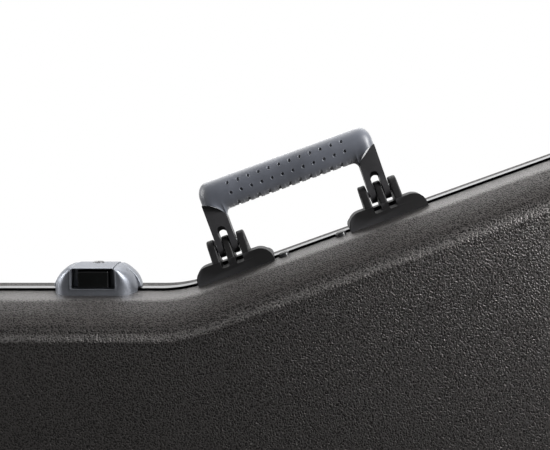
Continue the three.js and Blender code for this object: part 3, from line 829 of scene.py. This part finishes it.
def grip():
    """Soft sleeve: a rounded tube over the bar that turns down both legs."""
    phi = np.linspace(0, 2 * np.pi, AROUND, endpoint=False)
    across = np.sign(np.cos(phi)) * np.abs(np.cos(phi)) ** ROUNDNESS
    depth = np.sign(np.sin(phi)) * np.abs(np.sin(phi)) ** ROUNDNESS
    rows = []
    for outer, inner in grip_path():
        outer, inner = np.array(outer), np.array(inner)
        centre, reach = (outer + inner) / 2, (outer - inner) / 2
        rows.append(np.stack([centre[0] + reach[0] * across, PIVOT_Y + GRIP_R * depth,
                              centre[1] + reach[1] * across], 1))
    points = np.array(rows)  # section, point round it, xyz
    count = len(points)
    # the ends follow the curved seam of the forks
    seam_x, seam_z = np.array(SEAM).T
    for k in range(SEAM_ROWS):
        for row in (k, count - 1 - k):
            x = np.abs(points[row, :, 0])
            chord = seam_z[0] + (x - LEG_IN) * (seam_z[-1] - seam_z[0]) / (2 * LEG_HALF)
            lift = np.clip(np.interp(x, seam_x, seam_z) - chord, 0, 9)
            points[row, :, 2] += lift * (1 - k / SEAM_ROWS) ** 1.3
    # outward normals, for the relief
    along = np.gradient(points, axis=0)
    around = np.roll(points, -1, 1) - np.roll(points, 1, 1)
    normals = np.cross(along, around)
    normals /= np.linalg.norm(normals, axis=2, keepdims=True) + 1e-9
    from_centre = points - points.mean(axis=1, keepdims=True)
    sign = np.sign((from_centre * normals).sum(2, keepdims=True))
    normals *= np.where(sign == 0, 1, sign)
    relief = grip_relief(points[..., 0], points[..., 1], points[..., 2])
    points = points + normals * relief[..., None]
    return solid(points.reshape(-1, 3).tolist(), tube_faces(count, AROUND, first_reversed=True))


place(grip(), 'handle_soft_grip', 'carry_handle', GRIP, 'handle_grip',
      HANDLE_FRAME, sharp=60)

# domed buttons on the rim under the handle
BUTTON = [(4.9, -1.65), (5.0, 0.5), (4.8, 1.2), (4.0, 1.8), (2.8, 2.15), (1.4, 2.35), (0.2, 2.4)]
for side, x in (('left', -27), ('right', 27)):
    place(lathe(BUTTON, 36), f'rim_button_{side}', 'lid', TRIGGER,
          f'valance_rivet_{side}', HANDLE_FRAME @ shift(x, -7.7, 0), sharp=50)

# ---------------------------------------------------------------- latches
# Latch frame: x along the wall from the latch's middle, z out of the case
LATCHES = {'head': (-480, NECK_Z), 'centre': (-161, NECK_Z), 'body': (402, BODY_Z)}  # x, z
HINGE_Y, HINGE_Z = 20, 9.5   # hasp hinge
LOCK_Y = 8
FENDER_HALF = 39.0
# (x, z) of the right half of a fender section, foot to top
FENDER = [(FENDER_HALF, 0.3), (38.85, 2.2), (38.4, 4.4), (37.5, 7), (36.3, 9.6), (34.6, 12.4),
          (32.3, 15.2), (29.6, 17.8), (26.9, 20.0), (24.4, 21.6), (22.2, 22.55)]
# y, narrowing of each side, lowering of the top
NEAR_STATIONS = [
    (-24, 16.6, 1.3), (-23.8, 14.6, 1.1), (-23.2, 12.0, 0.85), (-22.2, 9.6, 0.6),
    (-20.8, 7.3, 0.4), (-19, 5.2, 0.25), (-16.6, 3.3, 0.1), (-13.5, 1.8, 0.03),
    (-10, 0.8, 0), (-6, 0.2, 0), (-0.6, 0.0, 0),
]
FAR_STATIONS = [
    (0.6, 0.0, 0), (8, 0.1, 0.5), (14, 0.5, 1.0), (18.5, 1.2, 1.7),
    (22, 2.4, 2.7), (24.6, 4.2, 4.3), (26.2, 6.6, 6.3), (27.0, 9.4, 8.6),
]


def fender(stations, foot_half, foot_z):
    """Loft along y; foot_half is the half width at the foot, foot_z(y) the foot's height."""
    outline = FENDER + mirror(FENDER)
    wide = foot_half / FENDER_HALF
    verts = []
    for y, narrow, lower in stations:
        for x, z in outline:
            k = (FENDER_HALF - narrow * (1 - 0.6 * min(1, z / 22.5))) / FENDER_HALF
            top = z if z < 1 else 0.3 + (z - 0.3) * (22.25 - lower) / 22.25
            verts.append((x * k * (1 + (wide - 1) * max(0, 1 - z / 20)), y, top))
    obj = solid(verts, tube_faces(len(stations), len(outline), first_reversed=False))
    for vert in obj.data.vertices:
        if vert.co.z < 1:
            vert.co.z = foot_z(vert.co.y)
    return obj


def near_housing():
    """Housing on the lid, with a window in front and a channel for the hasp."""
    housing = fender(NEAR_STATIONS, 36.6, lambda y: -1.68 + 0.0145 * (y + 2))
    cut(housing, box(-18.6, 18.6, -26, 2, 20.65, 26))
    window = [(-19.6, 5.0)] + arc(-18.3, 5.0, 1.3, 180, 270, 4)[1:]
    window += arc(18.3, 5.0, 1.3, 270, 360, 4) + [(18.6, 21.5), (-18.6, 21.5)]
    cut(housing, prism(window, -26, -10.5))
    cut(housing, box(-3.6, 3.6, -10.8, 2, 14.4, 21.5))
    cut(housing, box(-45, 45, -2.1, 2, -3, 1.3))
    # raised lip round the window
    lip = [(-20.6, 20.2), (-20.9, 5.0)] + arc(-18.5, 5.0, 2.4, 180, 270, 5)[1:]
    lip += arc(18.5, 5.0, 2.4, 270, 360, 5) + [(20.6, 20.2), (19.5, 20.2), (19.6, 5.0)]
    lip += arc(18.4, 5.0, 1.2, 360, 270, 5)[1:] + arc(-18.4, 5.0, 1.2, 270, 180, 5)
    lip = bevel(prism(lip + [(-19.5, 20.2)], -24.55, -22.5), 0.35, 2, 30)
    # fine groove over each fender
    for side in (1, -1):
        groove = [(side * 27.4, 26), (side * 27.4, 12), (side * 29.0, 12), (side * 29.0, 26)]
        cut(housing, prism(groove[::side], -9.8, -8.9))
    bevel(housing, 0.55, 3, 32)
    return merge([housing, lip])


def trigger():
    """Block that narrows toward its front, with a pocket behind for the spring."""
    block = box(-14.6, 14.6, -22.3, -14.6, 4.5, 19.8)
    for vert in block.data.vertices:
        if vert.co.y < -20:
            vert.co.x *= 0.925
            vert.co.z = 4.6 + (vert.co.z - 4.5) * 0.955
    cut(block, box(-3.7, 3.7, -20, -14, 9.7, 17.1))
    return bevel(block, 1.0, 4, 30)


def far_mount():
    """Mount on the base that carries the hasp hinge between its cheeks."""
    mount = fender(FAR_STATIONS, 39.8, lambda y: -0.25)
    cut(mount, prism([(0, 1.35), (10.0, 1.35), (10.1, -0.1), (28, -0.6), (28, -6), (0, -6)],
                     -45, 45, 'yz'))
    cut(mount, box(-18.7, 18.7, -1, 30, 3.2, 26))
    for side in (-1, 1):
        cut(mount, rod(1.9, side * 17, side * 23, HINGE_Y, HINGE_Z, 24))
    return bevel(mount, 0.55, 3, 32)


# (y, z) of the hasp seen along x, on each side of the arc round its hinge
HASP_TOP = [(-24.0, 22.0), (-24.0, 22.35), (-23.6, 22.7), (-22.8, 22.9), (2, 22.9), (12, 22.3),
            (19.6, 21.5), (21.6, 20.9), (23.0, 19.9), (23.8, 18.6), (24.1, 17.2)]
HASP_UNDER = [(16.2, 11.4), (17.2, 13.2), (18.6, 14.8), (19.4, 16.2), (19.2, 17.8),
              (18.0, 19.0), (16.0, 19.6), (8, 20.2), (0, 20.95), (-19, 20.95)]


def hasp(with_lock):
    outline = HASP_TOP + arc(HINGE_Y, HINGE_Z, 4.2, 0, -180, 16) + HASP_UNDER
    plate = prism(outline[::-1], -18.1, 18.1, 'yz')
    cut(plate, rod(1.87, -20, 20, HINGE_Y, HINGE_Z))
    if with_lock:
        cut(plate, lathe([(5.1, 14), (5.1, 26)], 40, 'z', (0, LOCK_Y, 0)))
    bevel(plate, 0.45, 3, 32)
    rib = bevel(box(-3, 3, -8, -4, 15.2, 21.2), 0.4, 2)
    return merge([plate, rib])


def trigger_spring():
    """Coil behind the trigger, winding along y."""
    coil_r, wire_r, turns, per_turn, sides = 2.5, 0.4, 3, 28, 10
    total = turns * per_turn
    verts = []
    for a in range(total + 1):
        t = a / per_turn * 2 * math.pi
        x, z = coil_r * math.cos(t), 13.4 + coil_r * math.sin(t)
        y = -16.5 + 5.1 * a / total
        for b in range(sides):
            q = 2 * math.pi * b / sides
            out = wire_r * math.cos(q)
            verts.append((x + out * math.cos(t), y + wire_r * math.sin(q),
                          z + out * math.sin(t)))
    return solid(verts, tube_faces(total + 1, sides, first_reversed=False))


HASP_PIN = [(1.5, -22.6), (1.8, -22.2), (1.8, 22.2), (1.5, 22.6)]
for name, (x, z) in LATCHES.items():
    spot = shift(x, 0, z)
    place(near_housing(), f'latch_near_housing_{name}', 'lid', PAINT,
          f'latch_housing_{name}', spot, sharp=40, flat=True)
    place(trigger(), f'latch_trigger_{name}', f'trigger_button_{name}', TRIGGER,
          f'trigger_{name}', spot, sharp=45, flat=True)
    place(far_mount(), f'latch_far_mount_{name}', 'base', PAINT,
          f'hasp_mount_{name}', spot, sharp=40)
    place(hasp(name == 'centre'), f'latch_hasp_{name}', f'hasp_plate_{name}', PAINT,
          f'hasp_{name}', spot, sharp=40, flat=True)
    place(lathe(HASP_PIN, 24, 'x', (0, HINGE_Y, HINGE_Z)), f'latch_hinge_pin_{name}', 'base',
          STEEL, f'hasp_pin_{name}', spot)
    place(trigger_spring(), f'latch_spring_{name}', 'lid', STEEL,
          f'trigger_spring_{name}', spot, sharp=60)

# lock barrel in the centre hasp, with a key slot
lock = lathe([(4.6, 17), (5.0, 17.3), (5.0, 23.0), (4.7, 23.4), (4.1, 23.5), (3.6, 23.3),
              (3.4, 23.1), (0.3, 23.1)], 40, 'z', (0, LOCK_Y, 0))
cut(lock, prism([(-0.6, 5.2), (0.6, 5.2), (0.6, 10.8), (-0.6, 10.8)], 20.6, 25, 'xy'))
lock_x, lock_z = LATCHES['centre']
place(lock, 'lock_barrel', 'lock', LOCK_METAL, 'lock_cylinder',
      shift(lock_x, 0, lock_z))

# ---------------------------------------------------------------- hinges
ROD_Z = 4.5
HINGE_ROD = [(1.2, -29.5), (1.6, -29.1), (1.6, 29.1), (1.2, 29.5)]


def knuckle(x0, x1):
    barrel = lathe([(3.3, x0), (3.6, x0 + 0.35), (3.6, x1 - 0.35), (3.3, x1)],
                   32, 'x', (0, 0, ROD_Z))
    return cut(barrel, rod(1.68, x0 - 1, x1 + 1, 0, ROD_Z))


def leaf(y0, y1, x0=-28, x1=28):
    return bevel(box(x0, x1, y0, y1, 6.6, 8.1), 0.35, 2)


def strip(y0, y1, top):
    return bevel(box(-27.5, 27.5, y0, y1, 7.6, top), 0.3, 2)


def rivets(y):
    profile = [(0.2, 5.4), (1.6, 5.5), (2.6, 5.9), (3.0, 6.5), (3.0, 7.0)]
    return [lathe(profile, 24, 'z', (x, y, 0)) for x in (-20, 0, 20)]


for k, x in enumerate((-380, 0, 330), 1):
    spot = shift(x, 0, 0)
    base_leaf = merge([knuckle(-28, -10), knuckle(10, 28), leaf(4, 24), leaf(1.2, 6, -28, -10),
                       leaf(1.2, 6, 10, 28), strip(12.8, 23, 10.1)] + rivets(17))
    place(base_leaf, f'hinge_leaf_base_{k}', 'base', STEEL, f'hinge_base_leaf_{k}', spot)
    lid_leaf = merge([knuckle(-9.6, 9.6), leaf(-24, -4.2), leaf(-6, -1.2, -9.6, 9.6),
                      strip(-23, -5.5, 9.6)] + rivets(-17))
    place(lid_leaf, f'hinge_leaf_lid_{k}', 'lid', STEEL, f'hinge_lid_leaf_{k}', spot)
    place(lathe(HINGE_ROD, 24, 'x', (0, 0, ROD_Z)), f'hinge_rod_{k}', 'base',
          STEEL, f'hinge_pin_{k}', spot)


# ---------------------------------------------------------------- feet
def foot(y0, y1):
    """Rubber foot with five grooves across its underside."""
    pad = prism([(-30, 10.4), (-28.4, 1.6), (-26.8, 0.0), (26.8, 0.0), (28.4, 1.6), (30, 10.4)],
                y0, y1)
    for k in range(5):
        cut(pad, box(-22 + k * 10, -19.5 + k * 10, y0 - 1, y1 + 1, -1, 0.9))
    return bevel(pad, 0.5, 3, 25)


for side, x in (('left', -485), ('right', 435)):
    for body, y0, y1 in (('base', 18, 44), ('lid', -44, -18)):
        place(foot(y0, y1), f'{body}_rubber_foot_{side}', body, RUBBER,
              f'{body}_foot_{side}', shift(x, 0, 0))


# ---------------------------------------------------------------- plush interior
def soften(node, name, body, voxel, rounds, puff, seed, backing=None):
    """Round off a CAD piece by remeshing, then swell it in slow waves of height puff."""
    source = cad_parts[node]
    mesh = source.data.copy()
    obj = bpy.data.objects.new(name, mesh)
    collection.objects.link(obj)
    obj.matrix_world = source.matrix_world.copy()
    bpy.context.view_layer.update()
    mesh.transform(obj.matrix_world)
    obj.matrix_world = Matrix.Identity(4)
    if backing:
        block = box(*backing)
        block.data.transform(Matrix.Scale(MM, 4))
        bm = bmesh.new()
        bm.from_mesh(mesh)
        bm.from_mesh(block.data)
        bm.to_mesh(mesh)
        bm.free()
        drop(block)
    remesh = obj.modifiers.new('remesh', 'REMESH')
    remesh.mode = 'VOXEL'
    remesh.voxel_size = voxel * MM
    remesh.use_smooth_shade = True
    smooth = obj.modifiers.new('smooth', 'SMOOTH')
    smooth.factor = 0.5
    smooth.iterations = rounds
    bake(obj)
    mesh = obj.data
    co = np.empty(len(mesh.vertices) * 3)
    mesh.vertices.foreach_get('co', co)
    co = co.reshape(-1, 3)
    normals = np.empty(co.size)
    mesh.vertex_normals.foreach_get('vector', normals)
    rng = np.random.default_rng(7 + seed)
    phases = rng.uniform(0, 6.28, 6)
    frequencies = rng.uniform(14, 46, (6, 3))
    waves = sum(np.sin(co @ frequencies[i] + phases[i]) for i in range(6)) / 6
    co = co + normals.reshape(-1, 3) * (waves * puff * MM)[:, None]
    mesh.vertices.foreach_set('co', co.ravel())
    mesh.update()
    paint(mesh, name, PLUSH)
    register(obj, body, node)


padding_voxel = 5
# the backing thickens the base where the pocket runs close to the outer skin
soften('base_foam', 'base_plush_padding', 'base', voxel=padding_voxel, rounds=5, puff=0.7,
       seed=0, backing=(335, 465, 67.5, 77.5, 26.5, 35.0))
soften('lid_lining', 'lid_plush_lining', 'lid', voxel=padding_voxel, rounds=4, puff=0.5, seed=1)
soften('neck_cradle', 'neck_rest', 'base', voxel=3, rounds=5, puff=0.5, seed=2)


# ---------------------------------------------------------------- compartment door
def door():
    """Cushioned board: a front and a back grid with rounded edges, joined round the rim."""
    x0, x1, z0, z1 = -298, -77, 47.9, 117.5
    margin = 9            # from the edge to the groove pressed into the front
    nx, nz = 90, 30
    rounding = 3          # cells over which the edge rounds off
    verts = []
    for side in (0, 1):
        for j in range(nz + 1):
            for i in range(nx + 1):
                x = x0 + (x1 - x0) * (i / nx)
                z = z0 + (z1 - z0) * (j / nz)
                edge = min(1.0, min(i, nx - i) / rounding, min(j, nz - j) / rounding)
                edge = math.sqrt(max(0.0, 1 - (1 - edge) ** 2))
                y = (6.7 - 1.7 * edge) if side == 0 else (6.9 + 1.6 * edge)
                if side == 0:
                    to_x = to_z = 99
                    if z0 + margin < z < z1 - margin:
                        to_x = min(abs(x - x0 - margin), abs(x1 - margin - x))
                    if x0 + margin < x < x1 - margin:
                        to_z = min(abs(z - z0 - margin), abs(z1 - margin - z))
                    y += 0.5 * math.exp(-(min(to_x, to_z) / 1.3) ** 2)
                verts.append((x, y, z))

    def at(side, i, j):
        return side * (nx + 1) * (nz + 1) + j * (nx + 1) + i

    faces = []
    for s in (0, 1):
        for j in range(nz):
            for i in range(nx):
                quad = (at(s, i, j), at(s, i + 1, j), at(s, i + 1, j + 1), at(s, i, j + 1))
                faces.append(quad[::1 if s == 0 else -1])
    for i in range(nx):
        faces.append((at(0, i, 0), at(1, i, 0), at(1, i + 1, 0), at(0, i + 1, 0)))
        faces.append((at(0, i, nz), at(0, i + 1, nz), at(1, i + 1, nz), at(1, i, nz)))
    for j in range(nz):
        faces.append((at(0, 0, j), at(0, 0, j + 1), at(1, 0, j + 1), at(1, 0, j)))
        faces.append((at(0, nx, j), at(1, nx, j), at(1, nx, j + 1), at(0, nx, j + 1)))
    return solid(verts, faces)


def ribbon_tab():
    """Ribbon sewn to the door, curling over its top edge."""
    path = [(105.6, 4.62), (108, 4.5), (112, 4.35), (116, 4.15),
            (119, 4.05), (120.8, 4.15), (121.4, 4.45), (120.8, 4.7)]  # z, y
    left, width, cells = -197, 20, 8
    row = cells + 1
    verts = [(left + width * i / cells, y - 0.35 + 0.06 * math.sin(i * 1.7 + z), z)
             for z, y in path for i in range(row)]
    faces = [(a * row + i, a * row + i + 1, (a + 1) * row + i + 1, (a + 1) * row + i)
             for a in range(len(path) - 1) for i in range(cells)]
    tab = make(verts, faces)
    mod = tab.modifiers.new('thickness', 'SOLIDIFY')
    mod.thickness = 0.5
    mod.offset = 0
    return face_outward(bake(tab))


place(door(), 'accessory_lid', 'accessory_door', DOOR_PLUSH, 'compartment_door',
      sharp=60)
place(ribbon_tab(), 'ribbon_pull', 'accessory_door', RIBBON, 'compartment_pull_tab',
      sharp=50)

# the backing plate keeps its CAD mesh and takes the steel
for material_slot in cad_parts['handle_backing_plate'].material_slots:
    material_slot.material = STEEL


# ---------------------------------------------------------------- floor (metres)
def pale_floor():
    """Pale to the camera, fading to white outward; dark to every other ray."""
    pale, dark = (0.82, 0.82, 0.82), (0.06, 0.06, 0.06)
    s = Surface('pale_floor')
    s['Base Color'] = pale
    s['Roughness'] = 0.8
    camera_ray = s.node('LightPath').outputs['Is Camera Ray']
    s['Base Color'] = s.mix(camera_ray, dark, pale)
    length = s.node('VectorMath')
    length.operation = 'LENGTH'
    s.feed(length.inputs[0], s.coords())
    outward = s.rise(length.outputs['Value'], start=0.62, slope=1.6)
    glow = s.node('Emission')
    glow.inputs['Strength'].default_value = 1.0
    blend = s.node('MixShader')
    # half glow near the case, all glow far out
    s.feed(blend.inputs[0], s.mul(s.add(s.mul(outward, 0.5), 0.5), camera_ray))
    s.feed(blend.inputs[1], s.bsdf.outputs[0])
    s.feed(blend.inputs[2], glow.outputs[0])
    s.feed(s.tree.nodes['Material Output'].inputs['Surface'], blend.outputs[0])
    return s.material


floor = make([(x, y, -0.0005) for x, y in ((-2.6, -2.4), (2.6, -2.4), (2.6, 1.45), (-2.6, 1.45))],
             [(0, 1, 2, 3)], 'studio_floor')
floor.data.materials.append(pale_floor())


# ---------------------------------------------------------------- world, lights, camera
def studio_world():
    """White to the camera; lights the case from behind, above and the sides."""
    world = bpy.data.worlds.new('studio')
    world.use_nodes = True
    world.node_tree.nodes.clear()
    s = Shader(world.node_tree)
    output = s.node('OutputWorld')
    seen, lighting = s.node('Background'), s.node('Background')
    blend = s.node('MixShader')
    light_path = s.node('LightPath')
    coords = s.node('TexCoord')
    axes = s.node('SeparateXYZ')
    s.feed(axes.inputs[0], coords.outputs['Generated'])
    x, y, z = axes.outputs
    back = s.rise(y, start=0.33, slope=1.6)
    above = s.math('MULTIPLY', z, 0.18, clamp=True)
    outer = s.rise(s.math('ABSOLUTE', x), start=0.45, slope=2.0)
    sides = s.mul(outer, s.rise(y, start=-0.45, slope=2.5))
    sides = s.mul(sides, 0.75)  # side level
    brightest = s.math('MAXIMUM', s.math('MAXIMUM', back, above), sides)
    s.feed(lighting.inputs['Strength'], s.add(brightest, 0.03))  # on a dim 0.03 all round
    s.feed(lighting.inputs['Color'], (1, 1, 1))
    s.feed(seen.inputs['Color'], (1, 1, 1))
    s.feed(seen.inputs['Strength'], 1.0)
    s.feed(blend.inputs[0], light_path.outputs['Is Camera Ray'])
    s.feed(blend.inputs[1], lighting.outputs[0])
    s.feed(blend.inputs[2], seen.outputs[0])
    s.feed(output.inputs[0], blend.outputs[0])
    return world


def aim(obj, target):
    obj.rotation_euler = (Vector(target) - obj.location).to_track_quat('-Z', 'Y').to_euler()


def area_light(name, location, target, size, power):
    light = bpy.data.lights.new(name, 'AREA')
    light.energy = power
    light.size = size
    obj = bpy.data.objects.new(name, light)
    collection.objects.link(obj)
    obj.location = location
    aim(obj, target)
    obj.visible_camera = False


scene = bpy.context.scene
scene.view_settings.view_transform = 'Standard'
scene.view_settings.look = 'None'
scene.world = studio_world()
area_light('key_right', (1.2, -0.62, 1.12), target=(0.6, 0, 0.42), size=0.7, power=48)
area_light('top_soft', (0.0, 0.75, 1.75), target=(0, 0, 0.35), size=1.8, power=24)
area_light('fill_left', (-1.6, -1.5, 0.9), target=(-0.1, 0, 0.35), size=1.2, power=2.0)
area_light('side_left', (-1.5, 0.1, 0.75), target=(-0.2, 0, 0.35), size=0.8, power=15)

AIM_Z = 0.389
lens = bpy.data.cameras.new('camera')
lens.sensor_width = 36
lens.lens = 62.5
lens.clip_start = 0.01
camera = bpy.data.objects.new('camera', lens)
collection.objects.link(camera)
camera.location = (0.0, -0.8535, AIM_Z + 0.1063)
aim(camera, (0.0, 0.0, AIM_Z))
scene.camera = camera
